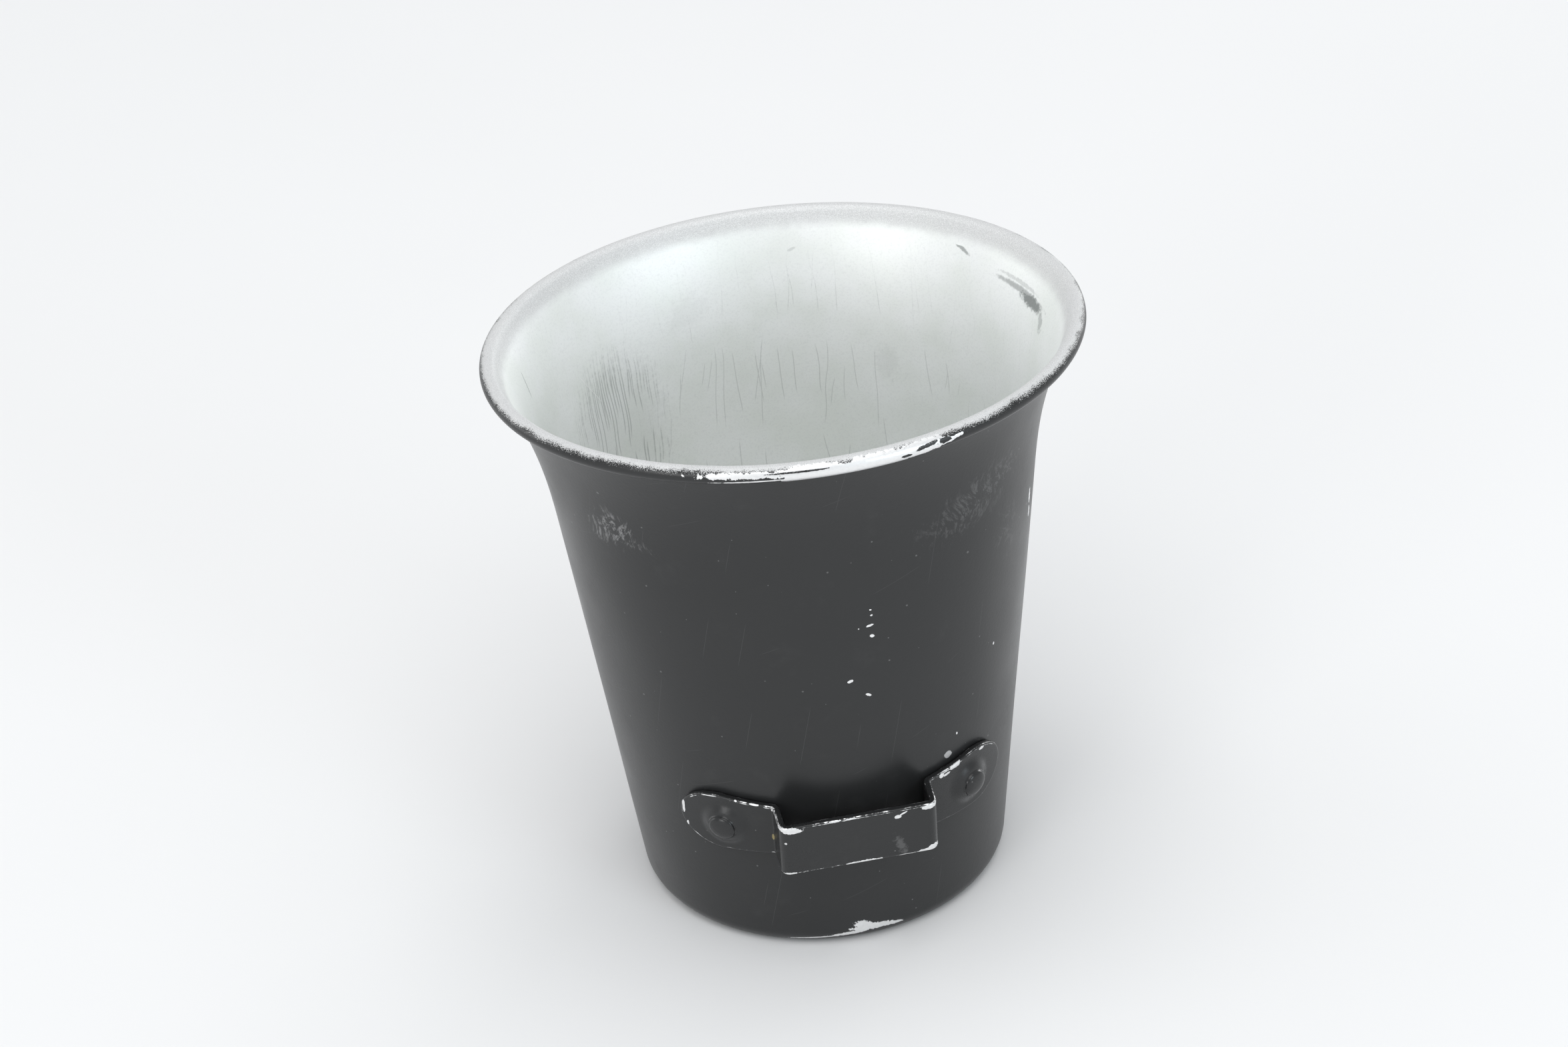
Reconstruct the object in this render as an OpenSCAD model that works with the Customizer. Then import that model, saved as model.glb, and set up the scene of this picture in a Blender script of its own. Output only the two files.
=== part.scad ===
// Canteen drinking cup: a drawn aluminium cup with a rolled rim and a riveted strap loop.
// Millimetres. The origin is the middle of the base on the table, +Z is up,
// +X runs along the long way of the mouth, and the strap loop is on the -Y side.

/* [Cup] */
// Height from the table to the top of the rim
cup_h = 94; // [80:1:110]
// Length of the mouth over the rim, along X
mouth_l = 91.4; // [88:0.2:96]
// Width of the mouth over the rim, along Y
mouth_w = 79.2; // [76:0.2:84]
// Diameter of the round base, where the line of the wall would meet the table
base_d = 57; // [52:0.5:60]
// Lean of the straight part of the wall, in degrees
wall_lean = 5.1; // [4:0.1:6]
// Thickness of the drawn sheet
wall_t = 0.9; // [0.7:0.1:1.1]
// Outside radius of the rounded base edge
base_edge_r = 3; // [2:0.5:5]
// Height above the table at which the wall starts to flare
flare_start = 66.7; // [60:0.5:70]
// How late the flare turns outwards: higher is later and tighter
flare_power = 2.7; // [2:0.1:3.5]
// Radius of the rolled bead round the mouth
bead_r = 1.3; // [1.2:0.1:1.6]

/* [Strap loop] */
// Height of the rivets above the table
strap_z = 24.5; // [20:0.5:40]
// Distance between the two rivets, along X
rivet_pitch = 37; // [36:0.2:38.4]
// Width of the raised bridge over its sides
bridge_w = 24.4; // [22:0.2:25]
// How far the outer face of the bridge stands off the wall
bridge_out = 4.4; // [4:0.1:6]
// Height of the bridge and of the neck of each ear
strap_h = 9.3; // [8:0.1:10]
// Height of the rounded end of each ear
ear_d = 10.4; // [10:0.1:11.2]
// How far the middle of each rounded end lies beyond its rivet
ear_past = 1.4; // [0.8:0.1:1.6]
// Thickness of the strap sheet
strap_t = 1; // [0.8:0.1:1.2]
// Outside radius of the bends at the two sides of the bridge
bridge_bend_r = 1.4; // [1.3:0.1:1.8]
// Inside radius of the bends between the sides and the ears
ear_bend_r = 0.5; // [0.4:0.1:0.8]
// Clearance between the strap and the wall
strap_gap = 0.15; // [0.1:0.05:0.2]

/* [Rivets] */
// Diameter of the rivet shank and of its holes
shank_d = 3; // [2.5:0.1:3.2]
// Diameter of the round head outside
outer_head_d = 4.4; // [4:0.1:4.8]
// Height of the round head outside
outer_head_h = 0.8; // [0.6:0.1:1]
// Diameter of the flat head inside the cup
inner_head_d = 5.2; // [4.6:0.1:5.4]
// Thickness of the flat head inside the cup
inner_head_h = 0.8; // [0.6:0.1:1]
// Diameter of the pressed boss round each rivet, at its foot
boss_d = 8.6; // [8:0.1:9]
// Diameter of the flat top of the pressed boss
boss_top_d = 5.8; // [5.6:0.1:6.2]
// Height of the pressed boss
boss_h = 0.95; // [0.8:0.05:1.2]

/* [Hidden] */
$fn = 72;

paint = "#3d4041";

// Mesh steps of the lofted cup wall
around_steps = 72;
edge_steps = 6;
straight_steps = 3;
flare_steps = 8;
bead_steps = 13;

// Steps of the strap's bends and ears, and how far round its circle an ear is drawn
bend_steps = 6;
ear_steps = 20;
ear_sweep = 50;

// The bead is a ring at rim_z, and the wall runs into its inner underside
rim_z = cup_h - bead_r;
bead_mid_r = (mouth_l + mouth_w) / 4 - bead_r;
oval = (mouth_l - mouth_w) / 4;
join_angle = 225;
wall_top_z = rim_z + bead_r * sin(join_angle);
wall_top_r = bead_mid_r + bead_r * cos(join_angle);
lean_rate = tan(wall_lean);
flare_out = wall_top_r - base_d / 2 - wall_top_z * lean_rate;

// The rounded base edge touches the table at edge_r0 and the wall at edge_top_z
edge_top_z = base_edge_r * (1 - sin(wall_lean));
edge_r0 = base_d / 2 + edge_top_z * lean_rate - base_edge_r * cos(wall_lean);

// Mean outside radius of the wall and its change with height
function flare_at(z) = max(0, (z - flare_start) / (wall_top_z - flare_start));
function mean_r(z) = base_d / 2 + z * lean_rate + flare_out * pow(flare_at(z), flare_power);
function mean_rate(z) =
    lean_rate
    + (z <= flare_start ? 0 :
       flare_out * flare_power * pow(flare_at(z), flare_power - 1) / (wall_top_z - flare_start));

// The section is round at the base and grows oval towards the mouth
function half_l(r, z) = r + oval * z / rim_z;
function half_w(r, z) = r - oval * z / rim_z;

// Outside outline of the wall as [radius, height, outward normal]
function edge_row(i) =
    let (a = -90 + i * (90 - wall_lean) / edge_steps)
    [edge_r0 + base_edge_r * cos(a), base_edge_r * (1 + sin(a)), [cos(a), sin(a)]];
function wall_row(z) = [mean_r(z), z, [1, -mean_rate(z)] / norm([1, mean_rate(z)])];
function between(low, high, i, steps) = low + (high - low) * i / steps;
outer_rows = concat(
    [for (i = [0 : edge_steps]) edge_row(i)],
    [for (i = [1 : straight_steps]) wall_row(between(edge_top_z, flare_start, i, straight_steps))],
    [for (i = [1 : flare_steps]) wall_row(between(flare_start, wall_top_z, i, flare_steps))]);

// The inside outline is the outside one moved in by the sheet thickness
last_row = len(outer_rows) - 1;
outer_line = [for (row = outer_rows) [row[0], row[1]]];
inner_line = [for (i = [last_row : -1 : 0])
    [outer_rows[i][0], outer_rows[i][1]] - wall_t * outer_rows[i][2]];
bead_end = 180 - atan(mean_rate(wall_top_z));
bead_start = join_angle - 360;
bead_line = [for (i = [1 : bead_steps])
    let (a = between(bead_start, bead_end, i, bead_steps))
    [bead_mid_r + bead_r * cos(a), rim_z + bead_r * sin(a)]];
cup_line = concat(outer_line, bead_line, inner_line);

// A point of the outside wall on the -Y side, and its outward normal
function wall_y(x, z) = -half_w(mean_r(z), z) * sqrt(1 - pow(x / half_l(mean_r(z), z), 2));
function wall_normal(x, z) =
    let (l = half_l(mean_r(z), z),
         w = half_w(mean_r(z), z),
         y = wall_y(x, z),
         l_rate = mean_rate(z) + oval / rim_z,
         w_rate = mean_rate(z) - oval / rim_z,
         n = [x / pow(l, 2), y / pow(w, 2),
              -pow(x, 2) * l_rate / pow(l, 3) - pow(y, 2) * w_rate / pow(w, 3)])
    n / norm(n);

// The strap: its ears lie on a circle that touches the wall at both rivets
rivet_x = rivet_pitch / 2;
rivet_y = wall_y(rivet_x, strap_z);
rivet_n = wall_normal(rivet_x, strap_z);
strap_lean = atan(rivet_n[2] / rivet_n[1]);
plan_n = [rivet_n[0], rivet_n[1]] / norm([rivet_n[0], rivet_n[1]]);
ear_arc_r = rivet_x / plan_n[0];
ear_arc_y = rivet_y - ear_arc_r * plan_n[1];
ear_in_r = ear_arc_r + strap_gap;
ear_out_r = ear_in_r + strap_t;
side_x = bridge_w / 2;
bridge_y = wall_y(0, strap_z) - bridge_out;
bend_x = side_x + ear_bend_r;
bend_y = ear_arc_y - sqrt(pow(ear_out_r + ear_bend_r, 2) - pow(bend_x, 2));
bend_angle = atan2(bend_y - ear_arc_y, bend_x);
corner_x = side_x - bridge_bend_r;
corner_y = bridge_y + bridge_bend_r;

// Heights of the riveted stack above the wall, along the rivet
dimple_top = boss_h - wall_t;
ear_boss_foot = strap_gap + strap_t;
ear_boss_top = ear_boss_foot + boss_h;

// How much of the sheet a boss is rooted in, and how far a cut runs past the metal
root_share = 0.8;
past = 1;

// The round head is the top of a ball a little flatter than one that meets its foot
head_flatness = 1.25;
head_ball_r = head_flatness * (pow(outer_head_d / 2, 2) + pow(outer_head_h, 2)) / (2 * outer_head_h);

module cup_shell() {
    rows = len(cup_line);
    points = [for (p = cup_line)
        for (i = [0 : around_steps - 1])
            let (a = 360 * i / around_steps)
            [half_l(p[0], p[1]) * cos(a), half_w(p[0], p[1]) * sin(a), p[1]]];
    sides = [for (j = [0 : rows - 2])
        for (i = [0 : around_steps - 1])
            let (k = (i + 1) % around_steps, low = j * around_steps, high = low + around_steps)
            [high + i, high + k, low + k, low + i]];
    floor_below = [for (i = [0 : around_steps - 1]) i];
    floor_inside = [for (i = [around_steps - 1 : -1 : 0]) (rows - 1) * around_steps + i];
    polyhedron(points, concat(sides, [floor_below, floor_inside]), convexity = 6);
}

// Puts its children on the outside wall at a rivet, with +Z pointing straight out
module at_rivet(side) {
    translate([side * rivet_x, rivet_y, strap_z])
        rotate([0, acos(rivet_n[2]), atan2(rivet_n[1], side * rivet_n[0])])
            children();
}

// The pressed boss with its foot at foot_z, run on downwards by root
module boss(foot_z, root) {
    translate([0, 0, foot_z])
        cylinder(h = boss_h, d1 = boss_d, d2 = boss_top_d);
    translate([0, 0, foot_z - root])
        cylinder(h = root, d = boss_d);
}

module rivet_hole() {
    translate([0, 0, -past])
        cylinder(h = ear_boss_top + 2 * past, d = shank_d);
}

module cup_body() {
    color(paint)
        difference() {
            union() {
                cup_shell();
                for (side = [-1, 1])
                    at_rivet(side) boss(0, wall_t * root_share);
            }
            for (side = [-1, 1])
                at_rivet(side) {
                    boss(-wall_t, 2 * past);
                    rivet_hole();
                }
        }
}

// The strap's outside and inside lines seen from above, on the +X side
function arc(mid, r, a0, a1, steps) =
    [for (i = [0 : steps])
        let (a = between(a0, a1, i, steps))
        mid + r * [cos(a), sin(a)]];
function mirrored(line) = [for (i = [len(line) - 1 : -1 : 0]) [-line[i][0], line[i][1]]];
function reversed(line) = [for (i = [len(line) - 1 : -1 : 0]) line[i]];
outside_line = concat(
    arc([corner_x, corner_y], bridge_bend_r, -90, 0, bend_steps),
    arc([bend_x, bend_y], ear_bend_r, 180, bend_angle + 180, bend_steps),
    arc([0, ear_arc_y], ear_out_r, bend_angle, bend_angle + ear_sweep, ear_steps));
inside_line = concat(
    arc([corner_x, corner_y], bridge_bend_r - strap_t, -90, 0, bend_steps),
    arc([bend_x, bend_y], ear_bend_r + strap_t, 180, bend_angle + 180, bend_steps),
    arc([0, ear_arc_y], ear_in_r, bend_angle, bend_angle + ear_sweep, ear_steps));

module bent_plan() {
    polygon(concat(
        mirrored(outside_line), outside_line,
        reversed(inside_line), reversed(mirrored(inside_line))));
}

// The strap seen from the front: a band whose edges run tangent into two round ears
ear_x = rivet_x + ear_past;
neck = [side_x - ear_x, strap_h / 2];
tangent_angle = 90 - atan2(neck[1], -neck[0]) + asin(ear_d / 2 / norm(neck));
ear_line = arc([ear_x, 0], ear_d / 2, -tangent_angle, tangent_angle, ear_steps);
half_outline = concat([[side_x, -strap_h / 2]], ear_line, [[side_x, strap_h / 2]]);

module front_outline() {
    polygon(concat(half_outline, [for (p = half_outline) -p]));
}

module bent_strip() {
    intersection() {
        translate([0, rivet_y, strap_z])
            rotate([strap_lean, 0, 0])
                translate([0, -rivet_y, 0])
                    linear_extrude(height = 2 * ear_d, center = true)
                        bent_plan();
        translate([0, 0, strap_z])
            rotate([90, 0, 0])
                linear_extrude(height = mouth_w)
                    front_outline();
    }
}

module strap_loop() {
    color(paint)
        difference() {
            union() {
                bent_strip();
                for (side = [-1, 1])
                    at_rivet(side) boss(ear_boss_foot, strap_t * root_share);
            }
            for (side = [-1, 1])
                at_rivet(side) {
                    boss(strap_gap, 2 * past);
                    rivet_hole();
                }
        }
}

// A rivet set from inside: flat head in the dimple, shank, and round head outside
module rivet() {
    translate([0, 0, dimple_top - inner_head_h])
        cylinder(h = inner_head_h, d = inner_head_d);
    translate([0, 0, dimple_top - inner_head_h / 2])
        cylinder(h = ear_boss_top - dimple_top + inner_head_h / 2 + outer_head_h / 2, d = shank_d);
    intersection() {
        translate([0, 0, ear_boss_top])
            cylinder(h = outer_head_h, d = outer_head_d);
        translate([0, 0, ear_boss_top + outer_head_h - head_ball_r])
            sphere(r = head_ball_r);
    }
}

module rivet_left() {
    color(paint) at_rivet(-1) rivet();
}

module rivet_right() {
    color(paint) at_rivet(1) rivet();
}

cup_body();
strap_loop();
rivet_left();
rivet_right();
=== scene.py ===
"""Canteen drinking cup: the looks of its four pieces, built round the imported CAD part.

Lengths are millimetres until a mesh is made. Angles round the cup are degrees from the strap
side (-Y), positive towards +X.
"""

import math

import bpy
import numpy as np
from mathutils import Matrix, Vector


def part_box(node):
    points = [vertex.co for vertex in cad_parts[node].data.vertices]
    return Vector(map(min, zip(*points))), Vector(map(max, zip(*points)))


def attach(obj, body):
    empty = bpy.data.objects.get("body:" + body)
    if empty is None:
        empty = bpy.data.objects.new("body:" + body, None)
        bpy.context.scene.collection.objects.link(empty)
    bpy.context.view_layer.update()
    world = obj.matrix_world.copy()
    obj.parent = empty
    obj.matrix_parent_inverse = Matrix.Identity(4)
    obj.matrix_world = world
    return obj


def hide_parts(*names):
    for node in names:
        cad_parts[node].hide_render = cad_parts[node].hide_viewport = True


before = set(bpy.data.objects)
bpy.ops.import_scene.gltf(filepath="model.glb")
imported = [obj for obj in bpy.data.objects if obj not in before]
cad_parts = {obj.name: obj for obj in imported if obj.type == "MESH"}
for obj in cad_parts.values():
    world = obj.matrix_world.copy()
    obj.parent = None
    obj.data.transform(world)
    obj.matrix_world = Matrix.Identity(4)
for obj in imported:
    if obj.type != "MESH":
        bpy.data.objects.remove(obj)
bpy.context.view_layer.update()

MM = 0.001

# ---------------------------------------------------------------- sizes

cup_low, cup_high = (np.array(corner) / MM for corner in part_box("cup_body"))
strap_low, strap_high = (np.array(corner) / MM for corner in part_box("strap_loop"))

CUP_H = cup_high[2]
MOUTH_L = cup_high[0] - cup_low[0]
MOUTH_W = cup_high[1] - cup_low[1]
BASE_D = 57.0
WALL_LEAN = math.radians(5.1)
WALL_T = 0.9
BASE_EDGE_R = 3.0
FLARE_START = 66.7
FLARE_POWER = 2.7
BEAD_R = 1.3

BRIDGE_W = 24.4
BRIDGE_OUT = 4.4
STRAP_H = 9.3
EAR_D = 10.4
EAR_PAST = 1.4
STRAP_T = 1.0
BRIDGE_BEND_R = 1.4
EAR_BEND_R = 0.5
STRAP_GAP = 0.15
STRAP_BEVEL = 0.28
STRAP_Z = (strap_low[2] + strap_high[2]) / 2
EAR_X = (strap_high[0] - strap_low[0] - EAR_D) / 2
RIVET_X = EAR_X - EAR_PAST

BOSS_H = 0.95
BOSS_TOP_R = 2.0
BOSS_FOOT_R = 4.15
HEAD_R = 2.1
HEAD_H = 0.85
INNER_HEAD_R = 2.6
INNER_HEAD_H = 0.8
SHANK_R = 1.5

# ---------------------------------------------------------------- the wall as a surface

RIM_Z = CUP_H - BEAD_R
BEAD_MID_R = (MOUTH_L + MOUTH_W) / 4 - BEAD_R
OVAL = (MOUTH_L - MOUTH_W) / 4
JOIN_ANGLE = math.radians(225)
WALL_TOP_Z = RIM_Z + BEAD_R * math.sin(JOIN_ANGLE)
WALL_TOP_R = BEAD_MID_R + BEAD_R * math.cos(JOIN_ANGLE)
LEAN_RATE = math.tan(WALL_LEAN)
FLARE_OUT = WALL_TOP_R - BASE_D / 2 - WALL_TOP_Z * LEAN_RATE
EDGE_TOP_Z = BASE_EDGE_R * (1 - math.sin(WALL_LEAN))
EDGE_R0 = BASE_D / 2 + EDGE_TOP_Z * LEAN_RATE - BASE_EDGE_R * math.cos(WALL_LEAN)


def flare_at(z):
    return np.clip((z - FLARE_START) / (WALL_TOP_Z - FLARE_START), 0, None)


def mean_r(z):
    return BASE_D / 2 + z * LEAN_RATE + FLARE_OUT * flare_at(z) ** FLARE_POWER


def mean_rate(z):
    turn = FLARE_OUT * FLARE_POWER * flare_at(z) ** (FLARE_POWER - 1)
    return LEAN_RATE + turn / (WALL_TOP_Z - FLARE_START)


def ring_point(r, z, angle):
    """The point of the ring of mean radius r at height z; the rings grow oval upwards."""
    shift = OVAL * z / RIM_Z
    return np.stack([(r + shift) * np.sin(angle), -(r - shift) * np.cos(angle), z + 0 * angle], -1)


def wall_y(x, z):
    shift = OVAL * z / RIM_Z
    return -(mean_r(z) - shift) * np.sqrt(1 - (x / (mean_r(z) + shift)) ** 2)


def wall_normal(x, z):
    shift = OVAL * z / RIM_Z
    length, width = mean_r(z) + shift, mean_r(z) - shift
    y = wall_y(x, z)
    rise = x**2 * (mean_rate(z) + OVAL / RIM_Z) / length**3
    rise = rise + y**2 * (mean_rate(z) - OVAL / RIM_Z) / width**3
    normal = np.array([x / length**2, y / width**2, -rise])
    return normal / np.linalg.norm(normal)


RIVET_Y = float(wall_y(RIVET_X, STRAP_Z))
RIVET_FOOT = np.array([RIVET_X, RIVET_Y, STRAP_Z])
RIVET_OUT = wall_normal(RIVET_X, STRAP_Z)
MIRROR = np.array([-1.0, 1.0, 1.0])


def smoothstep(low, high, value):
    t = np.clip((value - low) / (high - low), 0, 1)
    return t * t * (3 - 2 * t)


def press_bosses(points):
    """Pushes the points near either rivet outwards, as the riveting tool pressed both sheets."""
    moved = points.copy()
    for side in (np.ones(3), MIRROR):
        foot, out = RIVET_FOOT * side, RIVET_OUT * side
        reach = points - foot
        along = reach @ out
        across = np.linalg.norm(reach - along[..., None] * out, axis=-1)
        lift = BOSS_H * (1 - smoothstep(BOSS_TOP_R, BOSS_FOOT_R, across))
        lift = np.where(np.abs(along) < BOSS_FOOT_R, lift, 0)
        moved = moved + lift[..., None] * out
    return moved


# ---------------------------------------------------------------- mesh helpers


def make_object(name, points, faces, smooth_angle=None):
    mesh = bpy.data.meshes.new(name)
    mesh.from_pydata((np.asarray(points) * MM).tolist(), [], [list(f) for f in faces])
    mesh.validate()
    mesh.shade_smooth()
    if smooth_angle is not None:
        mesh.set_sharp_from_angle(angle=math.radians(smooth_angle))
    obj = bpy.data.objects.new(name, mesh)
    bpy.context.collection.objects.link(obj)
    return obj


def store_float(obj, name, values):
    attribute = obj.data.attributes.new(name, "FLOAT", "POINT")
    attribute.data.foreach_set("value", np.asarray(values, dtype=np.float32).ravel())


def store_uv(obj, corner_uv):
    """corner_uv(face index, vertex index) gives the place of that corner in the texture square."""
    layer = obj.data.uv_layers.new(name="OFBake")
    for polygon in obj.data.polygons:
        for loop in polygon.loop_indices:
            layer.data[loop].uv = corner_uv(polygon.index, obj.data.loops[loop].vertex_index)


def grid_faces(rows, columns, first=0, closed=False, flip=False):
    faces = []
    for j in range(rows - 1):
        for i in range(columns if closed else columns - 1):
            k = (i + 1) % columns
            a, b = first + j * columns + i, first + j * columns + k
            c, d = b + columns, a + columns
            faces.append((a, d, c, b) if flip else (a, b, c, d))
    return faces


# ---------------------------------------------------------------- cup body

# Heights at which the wall's rings sit: close together where the bosses are pressed and the
# wall flares
BOSS_LOW_Z, BOSS_HIGH_Z = STRAP_Z - 6, STRAP_Z + 6
WALL_HEIGHTS = np.concatenate([
    np.linspace(EDGE_TOP_Z, BOSS_LOW_Z, 10)[1:],
    np.linspace(BOSS_LOW_Z, BOSS_HIGH_Z, 30)[1:],
    np.linspace(BOSS_HIGH_Z, FLARE_START, 18)[1:],
    np.linspace(FLARE_START, WALL_TOP_Z, 30)[1:],
])
EDGE_STEPS = 9
BEAD_STEPS = 30
BASE_STEPS = 8

# How far the rim's own material reaches from the top of the bead, outside and inside
RIM_OUTSIDE = 5.1
RIM_INSIDE = 4.6

# Angles of the cup's columns: close together on the strap side
FRONT_HALF = math.radians(60)
columns_front = np.linspace(-FRONT_HALF, FRONT_HALF, 172)
columns_back = np.linspace(FRONT_HALF, 2 * math.pi - FRONT_HALF, 193)[1:-1]
turns = np.concatenate([columns_front, columns_back])
turns = np.sort(np.where(turns > math.pi, turns - 2 * math.pi, turns))
COLUMNS = len(turns)

edge_turn = np.linspace(-math.pi / 2, -WALL_LEAN, EDGE_STEPS)
outer_r = np.concatenate([EDGE_R0 + BASE_EDGE_R * np.cos(edge_turn), mean_r(WALL_HEIGHTS)])
outer_z = np.concatenate([BASE_EDGE_R * (1 + np.sin(edge_turn)), WALL_HEIGHTS])
wall_lay = np.arctan(mean_rate(WALL_HEIGHTS))
normal_r = np.concatenate([np.cos(edge_turn), np.cos(wall_lay)])
normal_z = np.concatenate([np.sin(edge_turn), -np.sin(wall_lay)])
inner_r = (outer_r - WALL_T * normal_r)[::-1]
inner_z = (outer_z - WALL_T * normal_z)[::-1]

BEAD_END = math.pi - math.atan(mean_rate(WALL_TOP_Z))
bead_turn = np.linspace(JOIN_ANGLE - 2 * math.pi, BEAD_END, BEAD_STEPS)[1:]
bead_r = BEAD_MID_R + BEAD_R * np.cos(bead_turn)
bead_z = RIM_Z + BEAD_R * np.sin(bead_turn)

base_share = np.linspace(0, 1, BASE_STEPS + 1)[1:-1]
section_r = np.concatenate([
    outer_r[0] * base_share, outer_r, bead_r, inner_r, inner_r[-1] * base_share[::-1]])
section_z = np.concatenate([
    0 * base_share, outer_z, bead_z, inner_z, inner_z[-1] + 0 * base_share])
ROWS = len(section_r)
OUTER_FIRST = len(base_share)
INNER_LAST = ROWS - len(base_share)

steps = np.hypot(np.diff(section_r), np.diff(section_z))
run = np.concatenate([[0], np.cumsum(steps)])
bead_rows = np.arange(len(base_share) + len(outer_r), len(base_share) + len(outer_r) + len(bead_r))
top_run = np.interp(math.pi / 2, bead_turn, run[bead_rows])
RIM_RUN = top_run - run


DENT_DEPTH = 0.07


def wall_wobble(points):
    """Slow dents about a tenth of a millimetre deep, away from the rim, the base and the strap."""
    x, y, z = points[..., 0], points[..., 1], points[..., 2]
    turn = np.arctan2(x, -y)
    wave = np.sin(3 * turn + 0.06 * z + 0.4) + 0.7 * np.sin(5 * turn - 0.05 * z + 2.0)
    wave = wave + 0.5 * np.sin(8 * turn + 0.09 * z + 4.1)
    middle = smoothstep(6, 30, z) * (1 - smoothstep(74, 88, z))
    strap = np.exp(-((turn / 0.9) ** 4) - ((z - STRAP_Z) / 16) ** 4)
    return DENT_DEPTH * wave * middle * (1 - strap)


def build_cup():
    points = np.stack([ring_point(r, z, turns) for r, z in zip(section_r, section_z)])
    outwards = np.stack([np.sin(turns), -np.cos(turns), 0 * turns], -1)
    points = points + wall_wobble(points)[..., None] * outwards
    points = press_bosses(points)
    flat = points.reshape(-1, 3)
    centre_below, centre_inside = len(flat), len(flat) + 1
    flat = np.concatenate([flat, [[0, 0, section_z[0]], [0, 0, section_z[-1]]]])
    faces = grid_faces(ROWS, COLUMNS, closed=True)
    last = (ROWS - 1) * COLUMNS
    for i in range(COLUMNS):
        k = (i + 1) % COLUMNS
        faces.append((centre_below, k, i))
        faces.append((centre_inside, last + i, last + k))
    obj = make_object("cup_body_skin", flat, faces)
    rim_run = np.repeat(RIM_RUN, COLUMNS)
    store_float(obj, "rim_run", np.concatenate([rim_run, [RIM_RUN[0], RIM_RUN[-1]]]))

    # Texture layout: the outside and the inside as bands, and the two base discs above them
    wide = (turns + math.pi) / (2 * math.pi)
    half = bead_rows[len(bead_rows) // 2]
    outside_v = 0.01 + 0.39 * (run - run[OUTER_FIRST]) / (run[half] - run[OUTER_FIRST])
    inside_v = 0.42 + 0.39 * (run - run[half]) / (run[INNER_LAST - 1] - run[half])

    def corner_uv(face, vertex):
        if face >= (ROWS - 1) * COLUMNS:
            row = 0 if (face - (ROWS - 1) * COLUMNS) % 2 == 0 else ROWS - 2
        else:
            row = face // COLUMNS
        if row < OUTER_FIRST or row >= INNER_LAST - 1:
            place = flat[vertex][:2] / EDGE_R0 * 0.085
            return (0.1 if row < OUTER_FIRST else 0.3) + place[0], 0.91 + place[1]
        column = vertex % COLUMNS
        u = wide[column]
        if column == 0 and face % COLUMNS == COLUMNS - 1:
            u = 1.0
        v = outside_v[vertex // COLUMNS] if row < half else inside_v[vertex // COLUMNS]
        return 0.001 + 0.998 * u, v

    store_uv(obj, corner_uv)

    # Material by row: the outside, the rim from below the bead to the lip's end, the inside
    middle_run = (RIM_RUN[:-1] + RIM_RUN[1:]) / 2
    row_material = np.where(middle_run > RIM_OUTSIDE, 0, np.where(middle_run > -RIM_INSIDE, 1, 2))
    face_material = np.concatenate([np.repeat(row_material, COLUMNS), np.tile([0, 2], COLUMNS)])
    obj.data.polygons.foreach_set("material_index", face_material.astype(np.int32))
    return obj


# ---------------------------------------------------------------- strap loop

STRAP_LEAN = math.atan(RIVET_OUT[2] / RIVET_OUT[1])
plan_out = RIVET_OUT[:2] / np.linalg.norm(RIVET_OUT[:2])
EAR_ARC_R = RIVET_X / plan_out[0]
EAR_ARC_Y = RIVET_Y - EAR_ARC_R * plan_out[1]
EAR_OUT_R = EAR_ARC_R + STRAP_GAP + STRAP_T
SIDE_X = BRIDGE_W / 2
BRIDGE_Y = float(wall_y(0.0, STRAP_Z)) - BRIDGE_OUT
BEND_X = SIDE_X + EAR_BEND_R
BEND_Y = EAR_ARC_Y - math.sqrt((EAR_OUT_R + EAR_BEND_R) ** 2 - BEND_X**2)
BEND_ANGLE = math.atan2(BEND_Y - EAR_ARC_Y, BEND_X)
CORNER_X = SIDE_X - BRIDGE_BEND_R
CORNER_Y = BRIDGE_Y + BRIDGE_BEND_R
NECK_X = SIDE_X - EAR_X
TANGENT = math.pi / 2 - math.atan2(STRAP_H / 2, -NECK_X) + math.asin(
    EAR_D / 2 / math.hypot(NECK_X, STRAP_H / 2))

# Mesh steps across the strap, along an ear, and along the bridge, its bends and its sides
STRAP_COLUMNS = 33
EAR_COLUMNS = 40
BRIDGE_STEPS = 30
CORNER_STEPS = 9
SIDE_STEPS = 8
BEND_STEPS = 7
EAR_STEP = (EAR_X + EAR_D / 2 - SIDE_X) / EAR_COLUMNS


def strap_half():
    """Stations of the strap's +X half up to the ear, as plan place, outward normal and length."""
    stations = []
    for x in np.linspace(0, CORNER_X, BRIDGE_STEPS)[:-1]:
        stations.append((x, BRIDGE_Y, 0, -1))
    for turn in np.linspace(-math.pi / 2, 0, CORNER_STEPS):
        out = (math.cos(turn), math.sin(turn))
        place = (CORNER_X + BRIDGE_BEND_R * out[0], CORNER_Y + BRIDGE_BEND_R * out[1])
        stations.append(place + out)
    for y in np.linspace(CORNER_Y, BEND_Y, SIDE_STEPS)[1:-1]:
        stations.append((SIDE_X, y, 1, 0))
    for turn in np.linspace(math.pi, BEND_ANGLE + math.pi, BEND_STEPS)[:-1]:
        out = (math.cos(turn), math.sin(turn))
        place = (BEND_X + EAR_BEND_R * out[0], BEND_Y + EAR_BEND_R * out[1])
        stations.append(place + (-out[0], -out[1]))
    return np.array(stations)


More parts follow.
